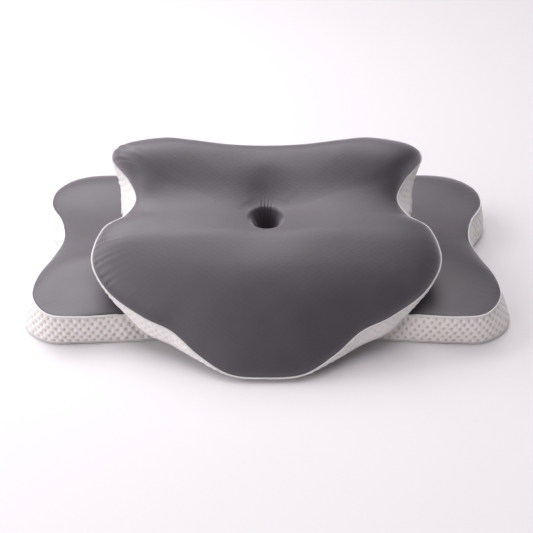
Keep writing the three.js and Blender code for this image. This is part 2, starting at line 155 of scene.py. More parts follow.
# outline: x, y, height of the seam, flare of the wall's foot and bulge of the wall, from nose to back
# gathers: x, y, reach and depth of the puckers beside the seam; slack: how full the side's bubbles are
SMALL = {
    "name": "small",
    "outline": [
        (0, -194, 10, -4, 1), (44, -190, 11, -4, 1), (81, -168, 18, 0, 2), (112, -142, 26, 7, 2),
        (148, -124, 29, 6, 2), (190, -92.5, 32, -9, 3), (212, -51, 34, -14, 4), (202, -7, 34, -6, 3),
        (176, 13, 34, 14, 2), (164, 37, 34, 25, 1), (176, 67, 33, 16, 1), (199, 99, 32, -7, 2),
        (188, 119, 31, -6, 2), (142, 130, 30, -2, 1),
    ],
    "back": {"y": 118, "radius": 600, "stops": (105, 53, 0), "seam": 30},
    "crown": {
        "front": -198, "half_width": 213, "nose": 26, "head": 44, "shoulder_lift": 4,
        "roll": 40, "roll_y": -45, "roll_front": 115, "roll_back": 60, "roll_side": 0.62, "roll_power": 2.6,
        "ridge": 20, "ridge_width": 54, "ridge_side": 1.35, "ridge_in": 12,
    },
    "hollow_lip": 20,
    "zip": {"level": 14, "half": 84},
    "gathers": [(-190, 112, 34, 0.9), (-212, -58, 42, 0.7), (190, 112, 26, 0.3), (212, -58, 30, 0.25)],
    "slack": 0.35,
    "rests_under": None,
    "samples": 640,
}

LARGE = {
    "name": "large",
    "outline": [
        (0, -118, 29, 4, 1), (60, -121, 30, 8, 1), (110, -129, 31, 14, 1), (150, -138, 34, 14, 2),
        (188, -149, 39, 5, 3), (230, -158, 43, -2, 2), (266, -152, 43, 4, 2), (289, -120, 44, 16, 3),
        (290, -78, 45, 18, 3), (277, -30, 45, 10, 3), (271, 8, 45, 8, 3), (281, 52, 45, 8, 3),
        (302, 96, 45, 8, 3), (300, 140, 45, 6, 3), (272, 170, 45, 2, 2), (228, 176, 45, 0, 1),
    ],
    "back": {"y": 160, "radius": 1600, "stops": (150, 75, 0), "seam": 43},
    "crown": {
        "front": -135, "half_width": 300, "nose": 34, "head": 46, "shoulder_lift": 14,
        "roll": 30, "roll_y": -52, "roll_front": 52, "roll_back": 70, "roll_side": 0.55, "roll_power": 2,
        "ridge": 17, "ridge_width": 45, "ridge_side": 1.15, "ridge_in": 8,
    },
    "hollow_lip": 26,
    "zip": {"level": 20, "half": 125},
    "gathers": [(-300, 120, 40, 0.3), (300, 120, 40, 0.25), (-289, -120, 30, 0.15), (289, -120, 30, 0.15)],
    "slack": 1.0,
    "rests_under": SMALL,
    "samples": 760,
}

# ---------------- where each pillow stands


def joint(name):
    return next(j for j in frame["joints"] if j["name"] == name)


def placement(pillow):
    """The pillow's own frame in the row frame, from the axis its zip slider turns about."""
    travel = joint(pillow["name"] + "_zip_travel")
    axis = Vector(travel["axis"]).normalized()
    tilt = math.atan2(-axis.y, axis.z)
    turn = Matrix.Rotation(tilt, 4, "X")
    back = pillow["back"]
    centre = Vector((0, back["y"] + back["radius"], pillow["zip"]["level"])) * MM
    return Matrix.Translation(Vector(travel["pos_m"]) - turn @ centre) @ turn, tilt


def to_world(pillow, points):
    matrix = np.array(pillow["matrix"])
    return (np.asarray(points, float) * MM) @ matrix[:3, :3].T + matrix[:3, 3]


# ---------------- curves and noise


def smooth(t):
    t = np.clip(t, 0, 1)
    return t * t * (3 - 2 * t)


def catmull_rom(rows, steps):
    """A closed uniform Catmull-Rom curve through rows of numbers, with steps points a span."""
    p1 = np.asarray(rows, float)
    p0, p2, p3 = np.roll(p1, 1, 0), np.roll(p1, -1, 0), np.roll(p1, -2, 0)
    t = (np.arange(steps) / steps)[None, :, None]
    a, b, c, d = p0[:, None], p1[:, None], p2[:, None], p3[:, None]
    curve = 0.5 * (2 * b + (c - a) * t + (2 * a - 5 * b + 4 * c - d) * t**2 + (3 * b - a - 3 * c + d) * t**3)
    return curve.reshape(-1, p1.shape[1])


def resampled(curve, count):
    """count points evenly spaced round a closed curve, by its plan length, and that length."""
    closed = np.vstack([curve, curve[:1]])
    length = np.concatenate([[0], np.cumsum(np.hypot(*np.diff(closed[:, :2], axis=0).T))])
    at = np.linspace(0, length[-1], count, endpoint=False)
    points = np.stack([np.interp(at, length, closed[:, k]) for k in range(closed.shape[1])], 1)
    return points, at, length[-1]


def ripple(at, total, shortest, longest, rng, waves=24):
    """Smooth noise round a closed length, about -1 to 1, with waves between two lengths."""
    value = np.zeros_like(at)
    for _ in range(waves):
        turns = max(1, round(total / rng.uniform(shortest, longest)))
        value += np.sin(TAU * turns * at / total + rng.uniform(0, TAU))
    return value / math.sqrt(waves)


def drift(x, y, size, rng, waves=14):
    """Smooth noise over the plane, about -1 to 1, with hills about size across."""
    value = np.zeros_like(x)
    for _ in range(waves):
        angle = rng.uniform(0, TAU)
        rate = TAU / (size * rng.uniform(0.8, 2.0))
        value += np.sin(rate * (x * math.cos(angle) + y * math.sin(angle)) + rng.uniform(0, TAU))
    return value / math.sqrt(waves)


# ---------------- one pillow's shape


def outline(pillow, count):
    """Arrays for count points round the seam: place, outward direction, wall, curvature, angle."""
    back = pillow["back"]
    arc = [
        (x, back["y"] + back["radius"] - math.sqrt(back["radius"] ** 2 - x**2), back["seam"], 0, 0)
        for x in back["stops"]
    ]
    right = [*pillow["outline"], *arc]
    left = [(-x, *rest) for x, *rest in right[-2:0:-1]]
    points, at, total = resampled(catmull_rom(right + left, 48), count)
    along = np.roll(points[:, :2], -1, 0) - np.roll(points[:, :2], 1, 0)
    along /= np.linalg.norm(along, axis=1)[:, None]
    turn = np.roll(along, -1, 0) - np.roll(along, 1, 0)
    bend = (along[:, 0] * turn[:, 1] - along[:, 1] * turn[:, 0]) / (2 * total / count)
    x, y, seam, flare, bulge = points.T
    return {
        "x": x, "y": y, "seam": pressed(pillow, x, y, seam), "flare": flare, "bulge": bulge,
        "nx": along[:, 1], "ny": -along[:, 0], "at": at, "total": total, "bend": bend,
        "angle": np.arctan2(y, x), "mean": np.mean(np.hypot(x, y)), "count": count,
    }


def base_print(pillow):
    """The outline of a leaning pillow's base, as seen from above in the large pillow's frame."""
    line = outline(pillow, 400)
    foot = np.stack([line["x"] + line["flare"] * line["nx"], line["y"] + line["flare"] * line["ny"]], 1)
    foot[:, 1] = SMALL_TIP_Y + (foot[:, 1] - foot[:, 1].min()) * math.cos(pillow["tilt"])
    return foot


def depth_inside(polygon, x, y):
    """Distance from points to a closed polygon, positive inside it."""
    a, b = polygon, np.roll(polygon, -1, 0)
    edge = b - a
    point = np.stack([x, y], 1)[:, None]
    t = np.clip(((point - a) * edge).sum(2) / (edge**2).sum(1), 0, 1)
    away = np.linalg.norm(point - a - t[..., None] * edge, axis=2).min(1)
    straddles = (a[:, 1] > y[:, None]) != (b[:, 1] > y[:, None])
    with np.errstate(divide="ignore", invalid="ignore"):
        crossing = a[:, 0] + (y[:, None] - a[:, 1]) / edge[:, 1] * edge[:, 0]
    inside = (straddles & (x[:, None] < crossing)).sum(1) % 2 == 1
    return np.where(inside, away, -away)


def pressed(pillow, x, y, z):
    """Where the small pillow's flat base lies on the large one, it presses the top down."""
    upper = pillow["rests_under"]
    if not upper:
        return z
    x, y, z = np.broadcast_arrays(x, y, z)
    z = z.astype(float)
    drop = z - (y - SMALL_TIP_Y) * math.tan(upper["tilt"]) + REST_GAP
    touched = drop > 0
    if touched.any():
        inside = depth_inside(upper["print"], x[touched], y[touched])
        z[touched] -= smooth(1 + inside / REST_FADE) * drop[touched]
    return z


def crown(pillow, x, y):
    """Height of the padded top away from its edge: neck roll, head bowl and back ridge."""
    c = pillow["crown"]
    back_y = pillow["back"]["y"]
    back = smooth((y - c["front"]) / (back_y - c["front"]))
    side = smooth(np.abs(x) / c["half_width"] * 1.05)
    behind = smooth((y - c["roll_y"]) / ROLL_BLEND + 0.5)
    spread = c["roll_front"] + (c["roll_back"] - c["roll_front"]) * behind
    power = c["roll_power"] + (2 - c["roll_power"]) * behind
    roll = c["roll"] * np.exp(-(np.abs((y - c["roll_y"]) / spread) ** power))
    roll = roll * (1 + (c["roll_side"] - 1) * side)
    from_ridge = y - back_y + c["ridge_in"] * side
    ridge = c["ridge"] * np.exp(-((from_ridge / c["ridge_width"]) ** 2)) * (1 + (c["ridge_side"] - 1) * side)
    return c["nose"] + (c["head"] - c["nose"]) * back + c["shoulder_lift"] * side * (1 - back) + roll + ridge


def top_height(pillow, x, y, seam, edge):
    lip = pillow["hollow_lip"]
    r = np.hypot(x, y)
    z = pressed(pillow, x, y, seam + (crown(pillow, x, y) - seam) * edge)
    z = z - HOLLOW_DISH * np.exp(-((r / (2.3 * lip)) ** 2))
    z = z - HOLLOW_PULL * np.exp(-((x / (1.4 * lip)) ** 2) - ((y - 1.5 * lip) / (1.4 * lip)) ** 2)
    well = 1 - smooth((r - 0.25 * lip) / (0.95 * lip))
    return z + (CAVITY_FLOOR - z) * well


def hollow_row(pillow, line, ring, depth):
    radius = ring * pillow["hollow_lip"]
    x, y = np.cos(line["angle"]), np.sin(line["angle"])
    z = top_height(pillow, radius * x, radius * y, 0, 1) - depth
    return np.stack([(radius + depth) * x, (radius + depth) * y, z], 1)


def top_row(pillow, line, share, depth):
    blend = smooth(share / 0.55)
    edge = (1 - share**EDGE_POWER) ** EDGE_ROUND
    round_x, round_y = line["mean"] * np.cos(line["angle"]), line["mean"] * np.sin(line["angle"])
    x = share * (round_x + (line["x"] - round_x) * blend)
    y = share * (round_y + (line["y"] - round_y) * blend)
    z = top_height(pillow, x, y, line["seam"], edge) - depth
    inward = share * blend * depth
    return np.stack([x - inward * line["nx"], y - inward * line["ny"], z], 1)


def bridge_row(pillow, line, share, depth):
    """A row between the dish's last ring and the first row that follows the outline."""
    ring, rim = hollow_row(pillow, line, DISH_END, 0), top_row(pillow, line, FIRST_SHARE, 0)
    row = ring + (rim - ring) * share
    edge = (1 - (FIRST_SHARE * share) ** EDGE_POWER) ** EDGE_ROUND
    row[:, 2] = top_height(pillow, row[:, 0], row[:, 1], line["seam"], edge) - depth
    out = hollow_row(pillow, line, DISH_END, depth) - ring
    inward = top_row(pillow, line, FIRST_SHARE, depth) - rim
    row[:, :2] += (out + (inward - out) * share)[:, :2]
    return row


def panel_rows(pillow, line, depth, dish, bridge, shares):
    """Rows of the top from the well to the seam, and each one's station from 0 to 3 on the way."""
    rows = [hollow_row(pillow, line, ring, depth) for ring in dish]
    rows += [bridge_row(pillow, line, share, depth) for share in bridge]
    rows += [top_row(pillow, line, share, depth) for share in shares]
    beyond = 2 + (np.asarray(shares) - FIRST_SHARE) / (1 - FIRST_SHARE)
    return np.array(rows), np.concatenate([np.asarray(dish) / DISH_END, 1 + np.asarray(bridge), beyond])


def wall_out(line, share):
    """How far the wall stands out from the seam, at a share of the seam's height."""
    middle = WALL_MIDDLE * line["flare"] + line["bulge"]
    m = WALL_MIDDLE
    at_foot = line["flare"] * (share - 1) * (share - m) / m
    return at_foot + middle * share * (share - 1) / (m * (m - 1))


def beside(line, out, z):
    """Points at a distance out from the seam's line, at heights z."""
    return np.stack([line["x"] + out * line["nx"], line["y"] + out * line["ny"], z], 1)


def wall_row(line, depth, z, lift=0.0):
    out = wall_out(line, np.clip(z / line["seam"], 0, 1)) - depth + lift
    return beside(line, out, np.broadcast_to(z, line["x"].shape))


def back_point(pillow, angle, out, z):
    """A point beside the back arc: angle along it, distance out of the wall, and height."""
    y, radius = pillow["back"]["y"], pillow["back"]["radius"]
    reach = radius - out
    return np.stack(np.broadcast_arrays(reach * np.sin(angle), y + radius - reach * np.cos(angle), z), -1)


# ---------------- meshes from rows of points


class Build:
    """Gathers points and faces, then makes one object of them."""

    def __init__(self):
        self.points, self.faces, self.flat, self.pits, self.size = [], [], [], [], 0

    def add(self, points, flat=None, pit=None):
        """Adds points, with their place on the flat cloth and how deep in a pit they lie, which sets the
        painted shade in the bubble knit's pits.
        """
        points = np.asarray(points, float).reshape(-1, 3)
        start = self.size
        self.points.append(points)
        self.flat.append(points[:, :2] if flat is None else np.asarray(flat, float).reshape(-1, 2))
        self.pits.append(np.zeros(len(points)) if pit is None else np.asarray(pit, float).ravel())
        self.size += len(points)
        return start

    def strip(self, a, b, count, turned=False, closed=True, skip=None):
        """Faces between two rows of count points that start at a and b."""
        i = np.arange(count if closed else count - 1)
        if skip is not None:
            i = i[~((i >= skip[0]) & (i < skip[1]))]
        j = (i + 1) % count
        quads = np.stack([a + i, b + i, b + j, a + j], 1)
        self.faces.extend((quads[:, ::-1] if turned else quads).tolist())

    def grid(self, start, rows, count, turned=False, hole=None):
        """Faces between consecutive rows; hole is first row, last row, first and last column."""
        for r in range(rows - 1):
            skip = (hole[2], hole[3]) if hole and hole[0] <= r < hole[1] else None
            self.strip(start + r * count, start + (r + 1) * count, count, turned, skip=skip)

    def cap(self, start, count, turned=False):
        """Closes a row of points with a fan to its middle."""
        row = np.vstack(self.points)[start : start + count]
        flat = np.vstack(self.flat)[start : start + count]
        tip = self.add(row.mean(0), flat.mean(0))
        for i in range(count):
            pair = [start + i, start + (i + 1) % count]
            self.faces.append([tip, *(pair[::-1] if turned else pair)])

    def capped(self, rows, flats=None):
        """A skin over rows of equally many points, closed at both ends."""
        rows = np.asarray(rows, float)
        count, start = rows.shape[1], self.add(rows, flats)
        self.grid(start, len(rows), count)
        self.cap(start, count)
        self.cap(start + (len(rows) - 1) * count, count, turned=True)

    def object(self, name, pillow, slot, body=None, wrap=None, smooth_faces=True):
        """The object, in the look of its slot, riding on a body or else on the pillow itself."""
        body = body or pillow["body"]
        points = to_world(pillow, np.vstack(self.points))
        mesh = bpy.data.meshes.new(name)
        mesh.from_pydata(points.tolist(), [], self.faces)
        flat = np.vstack(self.flat)
        corners = np.empty(len(mesh.loops), int)
        mesh.loops.foreach_get("vertex_index", corners)
        uv = flat[corners]
        if wrap:
            starts = np.array([p.loop_start for p in mesh.polygons])
            owner = np.repeat(np.arange(len(starts)), np.diff([*starts, len(corners)]))
            far = np.maximum.reduceat(uv[:, 0], starts)[owner]
            uv[:, 0] += wrap * (far - uv[:, 0] > wrap / 2)
        mesh.uv_layers.new(name="cloth").data.foreach_set("uv", (uv * MM).ravel())
        pit = mesh.attributes.new("pit", "FLOAT", "POINT")
        pit.data.foreach_set("value", np.concatenate(self.pits))
        mesh.polygons.foreach_set("use_smooth", [smooth_faces] * len(mesh.polygons))
        mesh.validate()
        obj = bpy.data.objects.new(name, mesh)
        bpy.context.scene.collection.objects.link(obj)
        obj.data.materials.append(LOOKS[slot])
        fix_normals(obj)
        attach(obj, body)
        return obj


def fix_normals(obj):
    """Turns the faces outward if the closed mesh came out inside out."""
    mesh = obj.data
    mesh.calc_loop_triangles()
    tri = np.empty(len(mesh.loop_triangles) * 3, int)
    mesh.loop_triangles.foreach_get("vertices", tri)
    co = np.empty(len(mesh.vertices) * 3)
    mesh.vertices.foreach_get("co", co)
    a, b, c = (co.reshape(-1, 3) - co.reshape(-1, 3).mean(0))[tri.reshape(-1, 3)].transpose(1, 0, 2)
    if np.einsum("ij,ij->i", a, np.cross(b, c)).sum() < 0:
        mesh.flip_normals()


def shell(build, outer, inner, ring):
    """Two nested faces, rows by points by 3, joined at their last rows, and at their first if ring."""
    count = outer.shape[1]
    o, i = build.add(outer), build.add(inner)
    build.grid(o, len(outer), count)
    build.grid(i, len(inner), count, turned=True)
    build.strip(o + (len(outer) - 1) * count, i + (len(inner) - 1) * count, count)
    if ring:
        build.strip(i, o, count)
    else:
        build.cap(o, count)
        build.cap(i, count, turned=True)


# ---------------- material building blocks


class Nodes:
    """Short calls for the node trees below."""

    def __init__(self, name):
        self.material = bpy.data.materials.new(name)
        self.material.use_nodes = True
        self.tree = self.material.node_tree
        self.shader = self.tree.nodes["Principled BSDF"]

    def node(self, kind, **settings):
        made = self.tree.nodes.new(kind)
        for key, value in settings.items():
            setattr(made, key, value)
        return made

    def link(self, source, target):
        if isinstance(source, (int, float, tuple)):
            target.default_value = source
        else:
            self.tree.links.new(source, target)

    def math(self, operation, a, b=0.0, c=0.0):
        made = self.node("ShaderNodeMath", operation=operation)
        for value, socket in zip((a, b, c), made.inputs):
            self.link(value, socket)
        return made.outputs[0]

    def cloth(self):
        return self.node("ShaderNodeUVMap", uv_map="cloth").outputs[0]

    def place(self):
        return self.node("ShaderNodeTexCoord").outputs["Object"]

    def split(self, vector):
        made = self.node("ShaderNodeSeparateXYZ")
        self.link(vector, made.inputs[0])
        return made.outputs

    def noise(self, vector, scale, detail=2.0, rough=0.5):
        made = self.node("ShaderNodeTexNoise")
        self.link(vector, made.inputs["Vector"])
        made.inputs["Scale"].default_value = scale
        made.inputs["Detail"].default_value = detail
        made.inputs["Roughness"].default_value = rough
        return made.outputs["Fac"]

    def cells(self, vector, scale):
        made = self.node("ShaderNodeTexVoronoi")
        self.link(vector, made.inputs["Vector"])
        made.inputs["Scale"].default_value = scale
        return made.outputs["Distance"]

    def wave(self, value, pitch, phase=0.0):
        """A cosine of a length in metres, from 0 to 1."""
        turns = self.math("MULTIPLY_ADD", value, TAU / (pitch * MM), phase)
        return self.math("MULTIPLY_ADD", self.math("COSINE", turns), 0.5, 0.5)

    def remap(self, value, low, high, to_low=0.0, to_high=1.0):
        made = self.node("ShaderNodeMapRange")
        for source, socket in zip((value, low, high, to_low, to_high), made.inputs):
            self.link(source, socket)
        return made.outputs[0]

    def mix(self, share, a, b):
        made = self.node("ShaderNodeMix", data_type="RGBA")
        self.link(share, made.inputs[0])
        self.link((*a, 1) if isinstance(a, tuple) else a, made.inputs[6])
        self.link((*b, 1) if isinstance(b, tuple) else b, made.inputs[7])
        return made.outputs[2]

    def bump(self, height, depth_mm, strength=1.0, before=None):
        made = self.node("ShaderNodeBump")
        made.inputs["Strength"].default_value = strength
        made.inputs["Distance"].default_value = depth_mm * MM
        self.link(height, made.inputs["Height"])
        if before is not None:
            self.link(before, made.inputs["Normal"])
        return made.outputs[0]

    def finish(self, color, roughness, normal=None, sheen=0.0, metallic=0.0, sheen_tint=(1, 1, 1), gloss=0.5):
        self.link(color, self.shader.inputs["Base Color"])
        self.link(roughness, self.shader.inputs["Roughness"])
        self.shader.inputs["Metallic"].default_value = metallic
        self.shader.inputs["Specular IOR Level"].default_value = gloss
        self.shader.inputs["Sheen Weight"].default_value = sheen
        self.shader.inputs["Sheen Roughness"].default_value = SHEEN_ROUGHNESS
        self.shader.inputs["Sheen Tint"].default_value = (*sheen_tint, 1)
        if normal is not None:
            self.link(normal, self.shader.inputs["Normal"])
        return self.material


def quincunx(nodes, pitch_u, pitch_v):
    """Dimples in staggered rows over the cloth: 0 in a hollow, 1 on a hump."""
    u, v, _ = nodes.split(nodes.cloth())
    both = nodes.math(
        "MULTIPLY",
        nodes.math("COSINE", nodes.math("MULTIPLY", u, TAU / (pitch_u * MM))),
        nodes.math("COSINE", nodes.math("MULTIPLY", v, TAU / (pitch_v * MM))),
    )
    return nodes.math("MULTIPLY_ADD", both, 0.5, 0.5)


def grey_knit():
    n = Nodes("grey_dimpled_knit")
    dimple = quincunx(n, *KNIT_PITCH)
    u, v, _ = n.split(n.cloth())
    ribs = n.math("MULTIPLY", n.wave(u, 1.35), n.remap(n.wave(v, 1.9), 0, 1, 0.4, 1))
    fleck = n.noise(n.cloth(), 1400, 2)
    patch = n.noise(n.cloth(), 28, 3)
    tone = n.mix(n.remap(fleck, 0.3, 0.7), KNIT_DARK, KNIT_LIGHT)
    tone = n.mix(n.remap(patch, 0.35, 0.7, 0, 0.35), tone, KNIT_WORN)
    # painted shade: the dimple hollows are darkened
    tone = n.mix(n.remap(dimple, 0, 0.6, 0.12, 0), tone, KNIT_HOLLOW_SHADE)
    normal = n.bump(dimple, 0.06, 0.6)
    normal = n.bump(ribs, 0.14, 0.5, normal)
    normal = n.bump(n.noise(n.cloth(), 2600, 2), 0.12, 0.6, normal)
    rough = n.remap(patch, 0.3, 0.7, 0.44, 0.5)
    return n.finish(tone, rough, normal, sheen=0.62, sheen_tint=(0.98, 0.91, 1), gloss=0.85)


def bubble_knit():
    n = Nodes("white_bubble_knit")
    pit = n.node("ShaderNodeAttribute", attribute_name="pit").outputs["Fac"]
    u, v, _ = n.split(n.cloth())
    loops = n.math("MULTIPLY", n.wave(u, 1.1), n.wave(v, 1.5))
    grain = n.noise(n.cloth(), 900, 3)
    patch = n.noise(n.cloth(), 60, 2)
    tone = n.mix(n.remap(grain, 0.3, 0.75), BUBBLE_SHADE, BUBBLE_WHITE)
    # painted shade: the pits are darkened toward a tan shade, patchy at random
    pit_shade = n.math("MULTIPLY", n.remap(pit, 0.05, 0.9), n.remap(patch, 0.25, 0.75, 0.6, 1.0))
    tone = n.mix(pit_shade, tone, BUBBLE_PIT_SHADE)
    normal = n.bump(loops, 0.2, 0.6)
    normal = n.bump(n.noise(n.cloth(), 2200, 2), 0.15, 0.6, normal)
    return n.finish(tone, n.remap(grain, 0.3, 0.7, 0.82, 0.95), normal, sheen=0.2)


def woven(name, light, dark, pitch):
    n = Nodes(name)
    u, v, _ = n.split(n.cloth())
    over = n.math("MULTIPLY", n.wave(u, pitch), n.wave(v, pitch, math.pi))
    under = n.math("MULTIPLY", n.wave(u, pitch, math.pi), n.wave(v, pitch))
    weave = n.math("ADD", over, under)
    # painted shade: the low spots between the crossings of the weave are darker
    tone = n.mix(n.remap(weave, 0, 1, 0.5, 0), light, dark)
    tone = n.mix(n.remap(n.noise(n.cloth(), 40, 3), 0.35, 0.7, 0, 0.3), tone, dark)
    normal = n.bump(weave, 0.15, 0.8)
    normal = n.bump(n.noise(n.cloth(), 1800, 2), 0.1, 0.5, normal)
    return n.finish(tone, n.remap(weave, 0, 1, 0.95, 0.8), normal, sheen=0.1)


def foam_look():
    n = Nodes("memory_foam")
    pores = n.cells(n.place(), 900)
    soft = n.noise(n.place(), 30, 3)
    # painted shade: the pores are darker toward their middles, where the bump is lowest
    tone = n.mix(n.remap(pores, 0.05, 0.5), (0.55, 0.46, 0.31), (0.88, 0.8, 0.62))
    tone = n.mix(n.remap(soft, 0.3, 0.7, 0, 0.25), tone, (0.8, 0.68, 0.45))
    normal = n.bump(pores, 0.4, 0.8)
    return n.finish(tone, n.remap(pores, 0, 0.5, 1.0, 0.85), normal)


def thread_look(name, light, dark):
    n = Nodes(name)
    u, v, _ = n.split(n.cloth())
    twist = n.wave(n.math("MULTIPLY_ADD", v, 1.6, u), 1.1)
    # painted shade: the grooves between the thread's twists are darker
    tone = n.mix(n.remap(twist, 0, 1, 0.6, 0), light, dark)
    normal = n.bump(twist, 0.2, 0.9)
    return n.finish(tone, n.remap(n.noise(n.cloth(), 700), 0.3, 0.7, 0.65, 0.85), normal, sheen=0.15)


def nylon_look():
    n = Nodes("zip_nylon")
    grain = n.noise(n.place(), 700, 2)
    tone = n.mix(n.remap(grain, 0.3, 0.7), (0.7, 0.69, 0.67), (0.82, 0.81, 0.79))
    return n.finish(tone, n.remap(grain, 0.3, 0.7, 0.32, 0.48), n.bump(grain, 0.03, 0.5))


def plated_look():
    n = Nodes("zip_plated_metal")
    scratch = n.noise(n.place(), 1500, 4, 0.7)
    wear = n.noise(n.place(), 220, 3)
    tone = n.mix(n.remap(wear, 0.4, 0.7), (0.62, 0.63, 0.66), (0.48, 0.49, 0.51))
    rough = n.remap(scratch, 0.3, 0.7, 0.22, 0.42)
    return n.finish(tone, rough, n.bump(scratch, 0.02, 0.4), metallic=1.0)


LOOKS = {
    "knit_grey": grey_knit(),
    "bubble_knit_white": bubble_knit(),
    "base_fabric": woven("base_weave", (0.78, 0.76, 0.74), (0.6, 0.575, 0.56), 1.3),
    "liner_fabric": woven("liner_tricot", (0.86, 0.86, 0.84), (0.7, 0.7, 0.68), 0.9),
    "foam": foam_look(),
    "thread": thread_look("seam_thread", (0.95, 0.93, 0.92), (0.78, 0.75, 0.74)),
    "zip_tape": woven("zip_tape_weave", (0.76, 0.74, 0.73), (0.58, 0.56, 0.55), 0.8),
    "zip_coil": nylon_look(),
    "zip_metal": plated_look(),
}

# ---------------- covers


def ring_radii():
    """Rings of the well and dish, in lip radii, closest where the well is steepest."""
    return np.concatenate([np.linspace(0.06, 1.3, 26), np.linspace(1.36, DISH_END, 9)])


def ring_shares(fine):
    """Shares of the outline, closest near the seam where the top turns down."""
    far = np.linspace(FIRST_SHARE, 0.9, fine, endpoint=False)
    near = 1 - np.linspace(0.1 ** 0.5, 0.004 ** 0.5, fine) ** 2
    return np.concatenate([far, near])


def hollow_pleats(pillow, x, y):
    """Fabric gathered into the well: soft radial folds, and sharper ones on its back wall."""
    lip = pillow["hollow_lip"]
    r, angle = np.hypot(x, y), np.arctan2(y, x)
    inside = smooth(r / (0.3 * lip)) * smooth((1.25 * lip - r) / (0.8 * lip))
    soft = PLEAT_SOFT * np.cos(13 * angle + 0.6 * np.sin(3 * angle)) * inside
    sharp = np.zeros_like(x)
    for place, depth in zip(PLEAT_PLACES, PLEAT_DEPTHS):
        sharp += depth * np.exp(-(((x - place * lip * (0.6 + y / (4 * lip))) / PLEAT_WIDTH) ** 2))
    window = smooth((y - 0.15 * lip) / (0.3 * lip)) * smooth((1.9 * lip - y) / (1.3 * lip))
    return soft - sharp * window


def gathering(pillow, line, least, forward=0, widen=1):
    """Depth of the puckers round the seam, deepest where the cover's corners are gathered."""
    depth = np.full_like(line["x"], least)
    for gather_x, gather_y, reach, most in pillow["gathers"]:
        away = np.hypot(line["x"] - gather_x, line["y"] - gather_y + forward)
        depth += most * np.exp(-((away / (widen * reach)) ** 2))
    return depth


def top_relief(pillow, line, rows, share_of_row, rng):
    """Soft unevenness of the padding, and the puckers that the seam gathers, in millimetres."""
    x, y = rows[..., 0], rows[..., 1]
    sag = drift(x, y, SAG[1], rng)
    depth = gathering(pillow, line, PUCKER_LEAST)
    folds = ripple(line["at"], line["total"], *PUCKER_WAVES, rng)
    near = np.exp(-(1 - share_of_row)[:, None] * line["mean"] / PUCKER_REACH)
    fade = smooth((1 - share_of_row) / 0.02)[:, None]
    puckers = (depth * folds)[None, :] * near * np.maximum(fade, 0.35)
    return SAG[0] * sag * fade + puckers + hollow_pleats(pillow, x, y)


def settled(pillow, line, station):
    """How far the top moves when it is run as cloth over the push of the foam, in millimetres."""
    coarse = outline(pillow, CLOTH_COLUMNS)
    rings, shares = np.linspace(0.1, DISH_END, 12), np.linspace(FIRST_SHARE, 0.985, 20)
    rows, at = panel_rows(pillow, coarse, 0, rings, (0.25, 0.5, 0.75), shares)
    build = Build()
    build.grid(build.add(rows), len(rows), CLOTH_COLUMNS)
    start = to_world(pillow, np.vstack(build.points))
    mesh = bpy.data.meshes.new("cloth_run")
    mesh.from_pydata(start.tolist(), [], build.faces)
    if sum(p.normal.z * p.area for p in mesh.polygons) < 0:
        mesh.flip_normals()
    obj = bpy.data.objects.new("cloth_run", mesh)
    bpy.context.scene.collection.objects.link(obj)
    well, rim = range(3 * CLOTH_COLUMNS), range(len(start) - 2 * CLOTH_COLUMNS, len(start))
    obj.vertex_groups.new(name="held").add([*well, *rim], 1.0, "REPLACE")
    cloth = obj.modifiers.new("cloth", "CLOTH")
    cloth.settings.vertex_group_mass = "held"
    cloth.settings.use_pressure = True
    cloth.settings.uniform_pressure_force = CLOTH_PRESSURE
    cloth.settings.effector_weights.gravity = 0
    cloth.settings.tension_stiffness = CLOTH_STIFFNESS
    cloth.settings.compression_stiffness = CLOTH_STIFFNESS
    cloth.settings.shear_stiffness = CLOTH_STIFFNESS
    cloth.settings.bending_stiffness = CLOTH_BENDING
    cloth.collision_settings.use_collision = False
    for step in range(1, CLOTH_FRAMES + 1):
        bpy.context.scene.frame_set(step)
    run = obj.evaluated_get(bpy.context.evaluated_depsgraph_get()).data
    end = np.empty(len(start) * 3)
    run.vertices.foreach_get("co", end)
    move = (end.reshape(-1, 3) - start) @ np.array(pillow["matrix"])[:3, :3] / MM
    bpy.context.scene.frame_set(1)
    bpy.data.objects.remove(obj)
    far = np.maximum(np.linalg.norm(move, axis=1, keepdims=True), 1e-6)
    move = (move * CLOTH_CAP * np.tanh(far / CLOTH_CAP) / far).reshape(len(rows), CLOTH_COLUMNS, 3)
    for _ in range(CLOTH_SMOOTHING):
        move[1:-1] = (move[:-2] + 2 * move[1:-1] + move[2:]) / 4
    move[..., 2] = np.maximum(move[..., 2], -CLOTH_SINK)
    waves = np.fft.rfft(move, axis=1)
    waves *= np.exp(-((np.arange(waves.shape[1]) / CLOTH_WAVES) ** 2))[None, :, None]
    move = np.fft.irfft(waves, n=line["count"], axis=1) * line["count"] / CLOTH_COLUMNS
    below = np.clip(np.searchsorted(at, station) - 1, 0, len(at) - 2)
    share = np.clip((station - at[below]) / (at[below + 1] - at[below]), 0, 1)[:, None, None]
    return move[below] * (1 - share) + move[below + 1] * share


def free_of_load(pillow, rows):
    """1 where nothing lies on the top, falling to 0 at the base of a pillow that rests on it."""
    upper = pillow["rests_under"]
    if not upper:
        return 1
    inside = depth_inside(upper["print"], rows[..., 0].ravel(), rows[..., 1].ravel())
    return smooth(-inside / LOAD_FADE).reshape(rows.shape[:2])[..., None]


